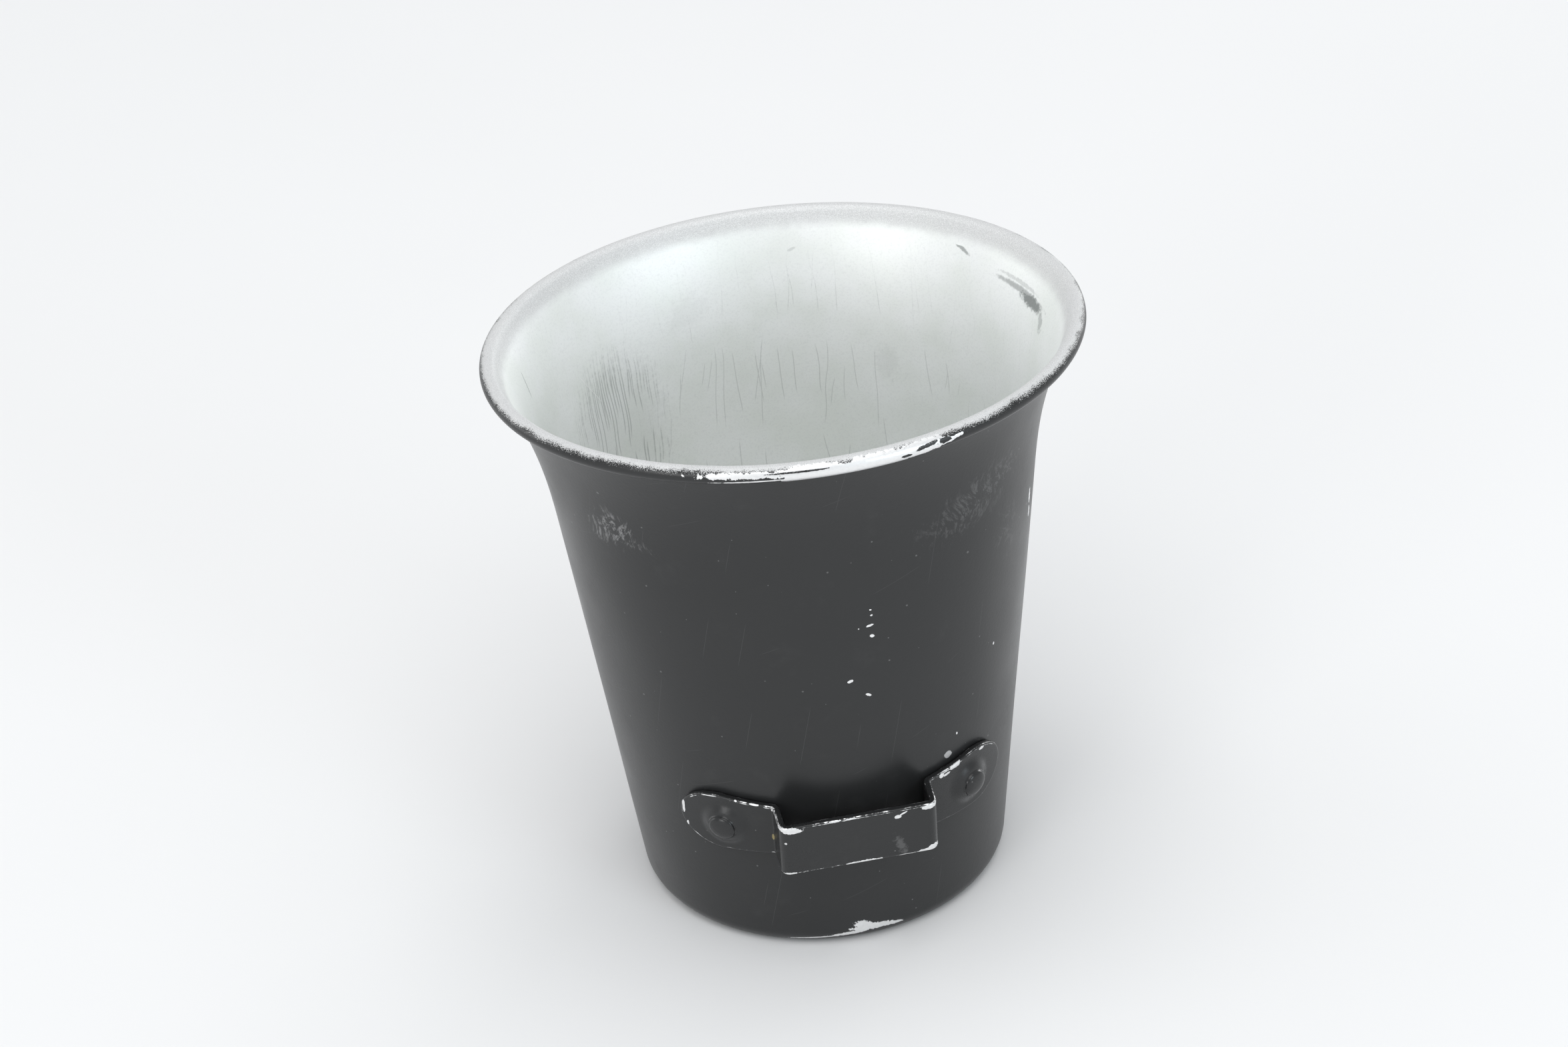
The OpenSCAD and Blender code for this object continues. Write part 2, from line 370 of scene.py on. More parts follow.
def strap_surface(inset, sunk):
    """The whole strap as a grid of points: inset from its outline, and sunk below its outer face."""
    across = np.linspace(-1, 1, STRAP_COLUMNS)
    half = strap_half()
    rows = []
    for x, y, nx, ny in half:
        high = across * (STRAP_H / 2 - inset)
        rows.append(np.stack([x - nx * sunk + 0 * high, y - ny * sunk + 0 * high, high], -1))
    start_x = EAR_OUT_R * math.cos(BEND_ANGLE)
    slope = (EAR_D / 2 * math.sin(TANGENT) - STRAP_H / 2) / (
        EAR_X + EAR_D / 2 * math.cos(TANGENT) - SIDE_X)
    start_h = across * (STRAP_H / 2 + slope * (start_x - SIDE_X) - inset)
    end_x = EAR_X + (EAR_D / 2 - inset) * np.cos(across * TANGENT)
    end_h = (EAR_D / 2 - inset) * np.sin(across * TANGENT)
    for share in np.linspace(0, 1, EAR_COLUMNS):
        x = start_x + (end_x - start_x) * share
        high = start_h + (end_h - start_h) * share
        out = np.stack([x, -np.sqrt(EAR_OUT_R**2 - x**2)], -1) / EAR_OUT_R
        place = np.array([0, EAR_ARC_Y]) + out * (EAR_OUT_R - sunk)
        rows.append(np.concatenate([place, high[:, None]], -1))
    right = np.stack(rows)
    left = (right * MIRROR)[:0:-1]
    grid = np.concatenate([left, right])
    lean_c, lean_s = math.cos(STRAP_LEAN), math.sin(STRAP_LEAN)
    y, high = grid[..., 1] - RIVET_Y, grid[..., 2]
    grid[..., 1] = RIVET_Y + y * lean_c - high * lean_s
    grid[..., 2] = STRAP_Z + y * lean_s + high * lean_c
    return press_bosses(grid)


def border(rows, columns):
    """The cells round the outside of a grid, in order."""
    loop = [(0, i) for i in range(columns)]
    loop += [(j, columns - 1) for j in range(1, rows)]
    loop += [(rows - 1, i) for i in range(columns - 2, -1, -1)]
    loop += [(j, 0) for j in range(rows - 2, 0, -1)]
    return loop


def build_strap():
    outer = strap_surface(STRAP_BEVEL, 0)
    inner = strap_surface(STRAP_BEVEL, STRAP_T)
    rows, columns = outer.shape[:2]
    size = rows * columns
    points = [outer.reshape(-1, 3), inner.reshape(-1, 3)]
    faces = grid_faces(rows, columns, flip=True)
    faces += grid_faces(rows, columns, first=size, flip=False)
    loop = border(rows, columns)
    loops = [[j * columns + i for j, i in loop]]
    first = 2 * size
    turn_steps = np.linspace(0, math.pi / 2, 5)
    rim = [(STRAP_BEVEL * (1 - math.sin(a)), STRAP_BEVEL * (1 - math.cos(a))) for a in turn_steps[1:]]
    rim += [(0, STRAP_T / 2)] + [(inset, STRAP_T - sunk) for inset, sunk in rim[::-1]]
    for inset, sunk in rim:
        level = strap_surface(inset, sunk)
        points.append(np.array([level[j, i] for j, i in loop]))
        loops.append([first + n for n in range(len(loop))])
        first += len(loop)
    loops.append([size + j * columns + i for j, i in loop])
    for upper, lower in zip(loops[:-1], loops[1:]):
        for n in range(len(loop)):
            m = (n + 1) % len(loop)
            faces.append((upper[n], upper[m], lower[m], lower[n]))
    obj = make_object("strap_loop_skin", np.concatenate(points), faces)

    # For the worn edges: distance from the middle of the outer rounded edge, and depth below the
    # outer face
    half_rows = rows // 2
    index = np.abs(np.arange(rows) - half_rows)
    to_end = (half_rows - index) * EAR_STEP
    to_side = (1 - np.abs(np.linspace(-1, 1, columns))) * (STRAP_H / 2 - STRAP_BEVEL)
    face = np.minimum(to_end[:, None], to_side[None, :]).ravel()
    rim_sunk = np.repeat([sunk for inset, sunk in rim], len(loop))
    edge_in = [face, face + STRAP_T, np.abs(rim_sunk - STRAP_BEVEL / 2)]
    store_float(obj, "edge_in", np.concatenate(edge_in))
    store_float(obj, "sunk", np.concatenate([0 * face, 0 * face + STRAP_T, rim_sunk]))
    return obj


# ---------------------------------------------------------------- rivets

RIVET_SIDES = 56
# Rounding of the inner head's edge, and how full the outer head's dome is: below 1 is fuller
INNER_EDGE_R = 0.35
DOME_POWER = 0.85
# The dome starts this far above the boss; below that the head's foot spreads into the strap
DOME_FOOT = 0.16


def rivet_section():
    """The rivet's outline as radius and height above the wall, from the inner to the outer end."""
    top = STRAP_GAP + STRAP_T + BOSS_H
    dimple = BOSS_H - WALL_T
    bottom = dimple - INNER_HEAD_H
    line = [(0, bottom - 0.06), (1.2, bottom - 0.04)]
    for turn in np.linspace(-math.pi / 2, 0, 7):
        line.append((INNER_HEAD_R - INNER_EDGE_R * (1 - math.cos(turn)),
                     bottom + INNER_EDGE_R * (1 + math.sin(turn))))
    line += [(INNER_HEAD_R, dimple - 0.05), (INNER_HEAD_R - 0.05, dimple)]
    line += [(SHANK_R, dimple), (SHANK_R, top - 0.3), (HEAD_R + 0.28, top - 0.22)]
    line += [(HEAD_R + 0.14, top - 0.04), (HEAD_R + 0.05, top + 0.06)]
    for turn in np.linspace(0, math.pi / 2, 12):
        height = top + DOME_FOOT + (HEAD_H - DOME_FOOT) * math.sin(turn)
        line.append((HEAD_R * math.cos(turn) ** DOME_POWER, height))
    line[-1] = (0, line[-1][1])
    return line


def build_rivet(name, side):
    """A lathed rivet whose heads are a little out of round, as if hammered."""
    line = rivet_section()
    out = RIVET_OUT * side
    foot = RIVET_FOOT * side
    sideways = np.cross([0, 0, 1], out)
    sideways = sideways / np.linalg.norm(sideways)
    upwards = np.cross(out, sideways)
    points = [foot + line[0][1] * out]
    phase = 0.7 if side[0] > 0 else 2.3
    for r, h in line[1:-1]:
        for n in range(RIVET_SIDES):
            a = 2 * math.pi * n / RIVET_SIDES
            uneven = 1 + 0.015 * math.sin(2 * a + phase) + 0.01 * math.sin(3 * a + 2 * phase)
            radius = r * (uneven if r > SHANK_R else 1)
            points.append(foot + h * out + radius * (math.cos(a) * sideways + math.sin(a) * upwards))
    points.append(foot + line[-1][1] * out)
    rings = len(line) - 2
    faces = grid_faces(rings, RIVET_SIDES, first=1, closed=True)
    end = len(points) - 1
    last_ring = end - RIVET_SIDES
    for n in range(RIVET_SIDES):
        m = (n + 1) % RIVET_SIDES
        faces.append((0, 1 + m, 1 + n))
        faces.append((end, last_ring + n, last_ring + m))
    return make_object(name, np.array(points), faces, smooth_angle=50)


# ---------------------------------------------------------------- material helpers


class Graph:
    """A node tree with short calls for the nodes the materials use. Vectors are millimetres."""

    def __init__(self, name):
        self.material = bpy.data.materials.new(name)
        self.material.use_nodes = True
        self.tree = self.material.node_tree
        self.tree.nodes.clear()
        place = self.add("ShaderNodeTexCoord").outputs["Object"]
        self.place = self.vector("SCALE", place, scale=1 / MM)
        parts = self.add("ShaderNodeSeparateXYZ", {"Vector": self.place}).outputs
        self.x, self.y, self.z = parts

    def add(self, kind, inputs=None, **settings):
        node = self.tree.nodes.new(kind)
        for key, value in settings.items():
            setattr(node, key, value)
        for key, value in (inputs or {}).items():
            self.feed(node.inputs[key], value)
        return node

    def feed(self, socket, value):
        if isinstance(value, bpy.types.NodeSocket):
            self.tree.links.new(value, socket)
        elif value is not None:
            socket.default_value = value

    def math(self, operation, *values):
        node = self.add("ShaderNodeMath", operation=operation)
        for socket, value in zip(node.inputs, values):
            self.feed(socket, value)
        return node.outputs[0]

    def vector(self, operation, *values, scale=None):
        node = self.add("ShaderNodeVectorMath", operation=operation)
        for socket, value in zip(node.inputs, values):
            self.feed(socket, value)
        if scale is not None:
            self.feed(node.inputs["Scale"], scale)
        return node.outputs["Value" if operation in ("LENGTH", "DOT_PRODUCT") else "Vector"]

    def join(self, x, y, z=0.0):
        return self.add("ShaderNodeCombineXYZ", {"X": x, "Y": y, "Z": z}).outputs[0]

    def ramp(self, value, low, high, start=0.0, end=1.0):
        """start below low, end above high, and smooth between."""
        return self.add("ShaderNodeMapRange", {
            "Value": value, "From Min": low, "From Max": high, "To Min": start, "To Max": end,
        }, interpolation_type="SMOOTHSTEP").outputs[0]

    def blend(self, share, a, b):
        node = self.add("ShaderNodeMix", data_type="FLOAT")
        for socket, value in zip((node.inputs[0], node.inputs[2], node.inputs[3]), (share, a, b)):
            self.feed(socket, value)
        return node.outputs[0]

    def tint(self, share, a, b):
        node = self.add("ShaderNodeMix", data_type="RGBA")
        for socket, value in zip((node.inputs[0], node.inputs[6], node.inputs[7]), (share, a, b)):
            self.feed(socket, value)
        return node.outputs[2]

    def most(self, *values):
        result = values[0]
        for value in values[1:]:
            result = self.math("MAXIMUM", result, value)
        return result

    def noise(self, size, detail=2.0, roughness=0.5, where=None, shift=0.0):
        """Soft noise of about 0 to 1 with a mean of a half, its features size across."""
        where = self.place if where is None else where
        if shift:
            where = self.vector("ADD", where, (shift, shift * 0.7, -shift))
        return self.add("ShaderNodeTexNoise", {
            "Vector": where, "Scale": 1 / size, "Detail": detail, "Roughness": roughness,
        }).outputs[0]

    def specks(self, size, radius, share, shift=0.0):
        """Round dots of about this radius, in this share of the cells of this size."""
        where = self.vector("ADD", self.place, (shift, -shift, shift * 0.3))
        node = self.add("ShaderNodeTexVoronoi", {"Vector": where, "Scale": 1 / size})
        picks = self.add("ShaderNodeSeparateColor", {"Color": node.outputs["Color"]}).outputs
        reach = self.math("MULTIPLY", picks[1], radius / size)
        inside = self.math("LESS_THAN", node.outputs["Distance"], reach)
        return self.math("MULTIPLY", inside, self.math("LESS_THAN", picks[0], share))

    def patch(self, where, centre, half, tilt, ragged, amount, soft):
        """An oval of this centre and half size in the plane where, its edge broken by ragged."""
        away = self.vector("SUBTRACT", where, (centre[0], centre[1], 0))
        if tilt:
            away = self.add("ShaderNodeVectorRotate", {
                "Vector": away, "Angle": math.radians(tilt)}, rotation_type="Z_AXIS").outputs[0]
        reach = self.vector("LENGTH", self.vector("DIVIDE", away, (half[0], half[1], 1)))
        reach = self.math("MULTIPLY_ADD", self.math("SUBTRACT", ragged, 0.5), amount * 2, reach)
        return self.ramp(reach, 1 - soft, 1 + soft, 1.0, 0.0)

    def scratches(self, where, cell, width, share, lean=0.0, spread=0.2, seed=0.0):
        """Fine straight lines along the second axis of where, one in this share of the cells,
        leaning by lean degrees and by a random slope within spread."""
        if lean:
            where = self.add("ShaderNodeVectorRotate", {
                "Vector": where, "Angle": math.radians(lean)}, rotation_type="Z_AXIS").outputs[0]
        scaled = self.vector("DIVIDE", where, (cell[0], cell[1], 1))
        number = self.vector("FLOOR", scaled)
        inside = self.vector("SUBTRACT", scaled, self.vector("ADD", number, (0.5, 0.5, 0)))
        number = self.vector("ADD", number, (seed, seed * 1.7, 0.5))
        dice = self.add("ShaderNodeTexWhiteNoise", {"Vector": number}, noise_dimensions="3D")
        picks = self.add("ShaderNodeSeparateColor", {"Color": dice.outputs["Color"]}).outputs
        x, y, _ = self.add("ShaderNodeSeparateXYZ", {"Vector": inside}).outputs
        slope = self.math("MULTIPLY_ADD", picks[0], spread, -spread / 2)
        middle = self.math("MULTIPLY_ADD", picks[1], 0.7, -0.35)
        off = self.math("SUBTRACT", self.math("MULTIPLY_ADD", y, slope, x), middle)
        off = self.math("ABSOLUTE", self.math("MULTIPLY", off, cell[0]))
        line = self.ramp(off, width * 0.4, width, 1.0, 0.0)
        reach = self.math("MULTIPLY_ADD", picks[2], 0.3, 0.15)
        end = self.math("SUBTRACT", reach, self.math("ABSOLUTE", y))
        line = self.math("MULTIPLY", line, self.ramp(end, 0.0, 0.12))
        return self.math("MULTIPLY", line, self.math("LESS_THAN", dice.outputs["Value"], share))

    def bump(self, height, depth):
        return self.add("ShaderNodeBump", {"Height": height, "Distance": depth * MM}).outputs[0]

    def surface(self, colour, metallic, roughness, normal, shine=0.5):
        shader = self.add("ShaderNodeBsdfPrincipled", {
            "Base Color": colour, "Metallic": metallic, "Roughness": roughness,
            "Normal": normal, "Specular IOR Level": shine})
        output = self.add("ShaderNodeOutputMaterial")
        self.tree.links.new(shader.outputs[0], output.inputs["Surface"])
        return self.material


def grey(value, warm=0.0):
    return (value * (1 + warm), value, value * (1 - warm), 1.0)


PAINT = grey(0.017, -0.03)
PAINT_THIN = grey(0.024, -0.02)
PAINT_WORN = grey(0.075)
PAINT_SHINE = 0.42
CUP_PAINT_ROUGH = 0.29
STRAP_PAINT_ROUGH = 0.26
RIVET_PAINT_ROUGH = 0.19
SATIN = (0.905, 0.915, 0.91, 1.0)
SATIN_DULL = (0.86, 0.88, 0.855, 1.0)
SATIN_GRAIN = grey(0.66, -0.01)
SANDED_DARK = grey(0.54)
SANDED = grey(0.76)
RIDGE_SHADE = grey(0.40)
# Painted shade: the darker line of a faint ridge where the sanded lip ends inside
POLISHED = grey(0.90)
POLISHED_DULL = grey(0.76)
DUST = grey(0.30)
SCUFF = grey(0.62)
STRAP_SCUFF = grey(0.60)
SCRATCH = grey(0.35)
PALE_SCRATCH = grey(0.97)
SMUDGE = (0.17, 0.185, 0.18, 1.0)
YELLOW = (0.35, 0.28, 0.12, 1.0)
SATIN_METALLIC = 0.55
POLISHED_METALLIC = 0.75
POLISHED_ROUGH = 0.40
SANDED_METALLIC = 0.35
SANDED_ROUGH = 0.62


def paint_layers(g, base_rough):
    """Satin black paint: colour, roughness and surface height, with dust, specks and rubbing."""
    cloud = g.noise(16, 2)
    fine = g.noise(0.5, 2, 0.6)
    rub = g.ramp(g.noise(7, 4, 0.65, shift=31), 0.56, 0.78)
    colour = g.tint(g.math("MULTIPLY", cloud, 0.5), PAINT, PAINT_THIN)
    colour = g.tint(g.math("MULTIPLY", rub, 0.10), colour, PAINT_WORN)
    dots = g.most(g.specks(1.7, 0.16, 0.35), g.specks(3.1, 0.22, 0.22, shift=17))
    colour = g.tint(g.math("MULTIPLY", dots, 0.30), colour, DUST)
    roughness = g.ramp(cloud, 0.3, 0.7, base_rough, base_rough + 0.07)
    roughness = g.math("MULTIPLY_ADD", rub, 0.05, roughness)
    roughness = g.math("ADD", roughness, g.math("MULTIPLY_ADD", fine, 0.06, -0.03))
    return colour, roughness, fine


def satin_layers(g):
    """Satin aluminium: colour, roughness and height, with fine grain."""
    cloud = g.noise(9, 3, 0.6, shift=5)
    grain = g.noise(0.3, 2, 0.6, shift=9)
    colour = g.tint(g.ramp(cloud, 0.3, 0.7), SATIN_DULL, SATIN)
    colour = g.tint(g.ramp(grain, 0.45, 0.75, 0.0, 0.24), colour, SATIN_GRAIN)
    roughness = g.math("MULTIPLY_ADD", grain, 0.10, g.ramp(cloud, 0.25, 0.75, 0.42, 0.52))
    return colour, roughness, grain


def bare_spot(g, share, colour, roughness):
    """The same colour and roughness with polished bare metal where share is 1."""
    metal = g.tint(g.noise(0.5, 2), POLISHED_DULL, POLISHED)
    return g.tint(share, colour, metal), g.blend(share, roughness, POLISHED_ROUGH)


# ---------------------------------------------------------------- places on the cup


def around_map(g, front):
    """Distance round the wall and height: from the strap side, or from the far side."""
    if front:
        turn = g.math("ARCTAN2", g.x, g.math("MULTIPLY", g.y, -1))
    else:
        turn = g.math("ARCTAN2", g.math("MULTIPLY", g.x, -1), g.y)
    across = g.vector("LENGTH", g.join(g.x, g.y))
    return g.join(g.math("MULTIPLY", turn, across), g.z), turn


def place_on_wall(degrees, z, inside=False):
    """The same place as around_map gives for this angle from the strap side and height."""
    turn = math.radians(degrees)
    x, y, _ = ring_point(float(mean_r(np.array(z))) - (WALL_T if inside else 0), z, np.array(turn))
    if inside:
        return math.atan2(-x, y) * math.hypot(x, y), z
    return math.atan2(x, -y) * math.hypot(x, y), z


def patches(g, where, rows, ragged, place=None, soft=0.12):
    """The most of several patches, with one row each: two values of place, half width, half
    height, tilt, raggedness and strength."""
    masks = []
    for first, second, wide, high, tilt, amount, strength in rows:
        centre = place(first, second) if place else (first, second)
        mask = g.patch(where, centre, (wide, high), tilt, ragged, amount, soft)
        masks.append(g.math("MULTIPLY", mask, strength))
    return g.most(*masks)


# ---------------------------------------------------------------- the cup's materials

# Chips and scuffs of the outside: angle and height of the middle, half width and half height,
# tilt in degrees, raggedness, and strength. The ones past 90 degrees are guesses.
OUTSIDE_CHIPS = [
    (7.4, 62.8, 0.18, 0.12, 20, 0.5, 1.0),
    (7.6, 61.8, 0.18, 0.14, 0, 0.5, 1.0),
    (7.1, 60.0, 0.62, 0.22, -8, 0.7, 1.0),
    (7.5, 58.0, 0.40, 0.30, 20, 0.7, 1.0),
    (4.3, 59.8, 0.10, 0.10, 0, 0.4, 1.0),
    (1.4, 50.5, 0.46, 0.26, -15, 0.6, 1.0),
    (5.9, 47.4, 0.44, 0.22, 25, 0.7, 1.0),
    (47.2, 45.9, 0.22, 0.25, 0, 0.5, 1.0),
    (66.5, 65.9, 0.5, 1.3, 0, 1.0, 1.0),
    (67.3, 62.9, 0.4, 0.9, 0, 1.0, 1.0),
    (29.4, 30.7, 0.75, 0.60, 0, 0.35, 0.55),
    (32.6, 33.8, 0.16, 0.22, 0, 0.5, 1.0),
    (0.8, 3.3, 1.5, 0.75, 12, 0.9, 1.0),
    (3.6, 2.6, 3.2, 0.62, 2, 0.9, 1.0),
    (8.4, 2.3, 2.6, 0.34, 4, 0.8, 1.0),
    (-3.5, 1.9, 3.0, 0.34, -3, 0.8, 1.0),
    (-13.0, 1.5, 4.6, 0.17, -3, 0.6, 1.0),
    (142.0, 1.9, 3.2, 0.36, 2, 0.8, 1.0),
    (-128.0, 2.0, 2.0, 0.45, -4, 0.9, 1.0),
    (128.0, 57.0, 0.40, 0.26, 20, 0.7, 1.0),
    (-141.0, 36.0, 0.30, 0.50, -10, 0.7, 1.0),
]
OUTSIDE_SCUFFS = [
    (-53.0, 77.0, 3.4, 2.4, 30, 1.0, 0.26),
    (-57.0, 76.0, 3.0, 2.2, -20, 1.0, 0.22),
    (-49.0, 75.5, 3.4, 1.2, 20, 1.2, 0.12),
    (38.0, 76.0, 9.0, 3.4, -15, 1.2, 0.09),
    (30.0, 73.0, 6.0, 1.6, 10, 1.2, 0.06),
    (50.0, 66.0, 3.0, 4.0, 0, 1.2, 0.05),
    (-134.0, 72.0, 4.0, 1.8, 15, 1.2, 0.08),
    (158.0, 30.0, 4.0, 3.0, -10, 1.2, 0.06),
]


def bent_place(g):
    """The place, swayed a few millimetres, so that streaks along it curve."""
    sway = g.add("ShaderNodeTexNoise", {"Vector": g.place, "Scale": 1 / 8, "Detail": 0.0})
    return g.vector("ADD", g.place, g.vector("SCALE", sway.outputs["Color"], scale=9))


def outside_material():
    g = Graph("painted_cup_outside")
    where, _ = around_map(g, True)
    ragged = g.noise(0.5, 4, 0.7, shift=21)
    chipped = patches(g, where, OUTSIDE_CHIPS, ragged, place_on_wall, 0.06)
    streaks = g.noise(0.8, 3, 0.7, where=g.vector("MULTIPLY", g.place, (1, 1, 0.4)), shift=41)
    scuffed = patches(g, where, OUTSIDE_SCUFFS, streaks, place_on_wall, 0.5)
    wisps = g.noise(0.9, 3, 0.8, where=g.vector("MULTIPLY", bent_place(g), (1, 1, 0.35)), shift=47)
    scuffed = g.math("MULTIPLY", scuffed, g.ramp(wisps, 0.48, 0.62))
    hair = g.most(
        g.scratches(where, (5.0, 16.0), 0.035, 0.20, lean=8, spread=0.5, seed=3),
        g.scratches(where, (6.0, 11.0), 0.030, 0.18, lean=63, spread=0.6, seed=8))
    colour, roughness, height = paint_layers(g, CUP_PAINT_ROUGH)
    colour = g.tint(scuffed, colour, SCUFF)
    colour = g.tint(g.math("MULTIPLY", hair, 0.10), colour, SCRATCH)
    colour, roughness = bare_spot(g, chipped, colour, roughness)
    metallic = g.math("MULTIPLY", chipped, POLISHED_METALLIC)
    return g.surface(colour, metallic, roughness, g.bump(height, 0.012), PAINT_SHINE)


# Places of the rim where the paint is rubbed or chipped to the metal: millimetres round the
# rim from the strap side, and millimetres outwards from the top of the bead
RIM_CHIPS = [
    (-3.0, 2.2, 5.5, 1.65, -2, 0.7, 1.0),
    (5.0, 2.3, 7.0, 1.75, 3, 0.7, 1.0),
    (12.5, 1.7, 4.5, 1.20, 5, 0.9, 1.0),
    (-11.5, 2.6, 6.5, 0.16, 1, 0.7, 1.0),
    (-12.5, 1.6, 7.0, 0.50, 0, 1.5, 1.0),
    (17.5, 1.9, 2.2, 0.30, 8, 0.9, 1.0),
    (-90.0, 2.1, 3.6, 0.50, 0, 0.9, 1.0),
    (104.0, 2.3, 2.6, 0.60, 0, 0.9, 1.0),
]
# Dark remnants of paint left inside those places
RIM_REMNANTS = [
    (13.8, 1.6, 1.9, 0.32, 8, 1.0, 1.0),
    (10.6, 2.3, 0.8, 0.30, 0, 1.0, 1.0),
    (-5.5, 1.5, 4.5, 0.14, 0, 0.9, 1.0),
    (16.6, 1.7, 0.9, 0.40, 0, 1.0, 1.0),
]
# Where the sanded lip ends inside, and where the paint ends outside, from the top of the bead
LIP_RUN = 3.1
PAINT_EDGE_RUN = 0.95
# How far that paint edge sways and how far its spray scatters
PAINT_EDGE_SWAY = 1.4
PAINT_EDGE_SCATTER = 3.4


def rim_material():
    g = Graph("painted_cup_rim")
    _, turn = around_map(g, True)
    rim_run = g.add("ShaderNodeAttribute", attribute_name="rim_run").outputs["Fac"]
    where = g.join(g.math("MULTIPLY", turn, MOUTH_W / 2), rim_run)
    uneven = g.noise(3.0, 3, 0.6, shift=3)
    spray = g.noise(0.16, 2, 0.8, shift=13)
    ragged = g.noise(0.9, 4, 0.7, shift=21)

    # The sprayed edge of the paint, with stray dots of it on the metal and of metal in it
    reach = g.math("SUBTRACT", rim_run, PAINT_EDGE_RUN)
    reach = g.math("MULTIPLY_ADD", g.math("SUBTRACT", uneven, 0.5), PAINT_EDGE_SWAY, reach)
    reach = g.math("MULTIPLY_ADD", g.math("SUBTRACT", spray, 0.5), PAINT_EDGE_SCATTER, reach)
    painted = g.ramp(reach, -0.15, 0.15)
    chipped = patches(g, where, RIM_CHIPS, ragged, soft=0.04)
    left = patches(g, where, RIM_REMNANTS, ragged, soft=0.04)
    chipped = g.math("MULTIPLY", chipped, g.math("SUBTRACT", 1.0, left))

    # The lip is sanded duller than the satin inside
    lip = g.ramp(g.math("MULTIPLY_ADD", uneven, 1.2, rim_run), -LIP_RUN - 0.9, -LIP_RUN + 1.6)
    satin, satin_rough, grain = satin_layers(g)
    sanded = g.tint(g.ramp(spray, 0.35, 0.70), SANDED_DARK, SANDED)
    # Painted shade of a faint ridge where the sanded lip ends: a thin darker line in the colour, with no
    # ridge in the mesh
    off_ridge = g.math("ABSOLUTE", g.math("ADD", rim_run, LIP_RUN))
    ridge_shade = g.math("SUBTRACT", 1.0, g.ramp(off_ridge, 0.0, 0.5))
    sanded = g.tint(g.math("MULTIPLY", ridge_shade, 0.12), sanded, RIDGE_SHADE)
    bare = g.tint(g.math("MULTIPLY", lip, 0.85), satin, sanded)
    bare_rough = g.blend(lip, satin_rough, SANDED_ROUGH)
    bare_metallic = g.blend(lip, SATIN_METALLIC, SANDED_METALLIC)

    paint, paint_rough, paint_height = paint_layers(g, CUP_PAINT_ROUGH)
    colour = g.tint(painted, bare, paint)
    roughness = g.blend(painted, bare_rough, paint_rough)
    metallic = g.blend(painted, bare_metallic, 0.0)
    colour, roughness = bare_spot(g, chipped, colour, roughness)
    metallic = g.blend(chipped, metallic, POLISHED_METALLIC)
    height = g.blend(painted, g.math("MULTIPLY", grain, 0.6), g.math("ADD", paint_height, 0.8))
    return g.surface(colour, metallic, roughness, g.bump(height, 0.014), PAINT_SHINE)


# Dark marks of the inside: angle and height, half width and half height, tilt, raggedness, strength
INSIDE_MARKS = [
    (106, 88.1, 7.0, 0.45, 0, 0.7, 0.50),
    (101.5, 87.6, 3.8, 0.9, 0, 0.9, 0.80),
    (108, 89.0, 5.0, 0.30, 0, 1.2, 0.25),
    (94.5, 86.4, 0.8, 1.3, 0, 1.2, 0.40),
    (129.5, 90.4, 2.2, 0.34, -25, 0.8, 0.60),
    (127, 91.1, 2.0, 0.20, 12, 0.8, 0.40),
    (-107, 86.0, 0.12, 2.0, 12, 0.6, 0.45),
    (169, 88.0, 0.7, 0.2, 20, 0.6, 0.25),
    (-165, 81.0, 3.5, 2.2, 20, 1.4, 0.05),
    (146, 70.0, 1.8, 2.5, 0, 1.4, 0.07),
]


def inside_material():
    g = Graph("satin_cup_inside")
    where, _ = around_map(g, False)
    ragged = g.noise(0.8, 4, 0.7, shift=51)
    sway = g.vector("SUBTRACT", g.add("ShaderNodeTexNoise", {
        "Vector": g.place, "Scale": 1 / 7.0, "Detail": 0.0}).outputs["Color"], (0.5, 0.5, 0.5))
    bent = g.vector("ADD", where, g.vector("MULTIPLY", sway, (1.2, 0.0, 0.0)))
    lower = g.patch(where, place_on_wall(164, 60, True), (34, 22), 0, ragged, 0.6, 0.35)
    hair = g.most(
        g.scratches(bent, (2.4, 15.0), 0.10, 0.38, lean=3, spread=0.25, seed=11),
        g.scratches(bent, (3.0, 19.0), 0.09, 0.34, lean=-5, spread=0.3, seed=23),
        g.scratches(bent, (3.4, 10.0), 0.08, 0.16, lean=-16, spread=0.4, seed=31))
    field = g.patch(where, place_on_wall(-139, 66, True), (9.5, 12.5), 14, ragged, 0.5, 0.35)
    strokes = g.most(
        g.scratches(bent, (0.62, 30.0), 0.15, 0.85, lean=3, spread=0.8, seed=41),
        g.scratches(bent, (0.90, 22.0), 0.18, 0.70, lean=-2, spread=0.9, seed=47))
    marks = patches(g, where, INSIDE_MARKS, ragged, lambda turn, z: place_on_wall(turn, z, True), 0.35)
    dark = g.most(
        g.math("MULTIPLY", g.math("MULTIPLY", hair, lower), 0.24),
        g.math("MULTIPLY", hair, 0.035),
        g.math("MULTIPLY", g.math("MULTIPLY", strokes, field), 0.45),
        g.math("MULTIPLY", field, 0.10),
        marks)
    pale = g.scratches(where, (9.0, 15.0), 0.07, 0.14, lean=25, spread=0.8, seed=61)
    colour, roughness, grain = satin_layers(g)
    colour = g.tint(dark, colour, SMUDGE)
    colour = g.tint(g.math("MULTIPLY", pale, 0.6), colour, PALE_SCRATCH)
    roughness = g.math("MULTIPLY_ADD", dark, 0.2, roughness)
    return g.surface(colour, SATIN_METALLIC, roughness, g.bump(grain, 0.008))


# ---------------------------------------------------------------- the strap's and rivets' materials

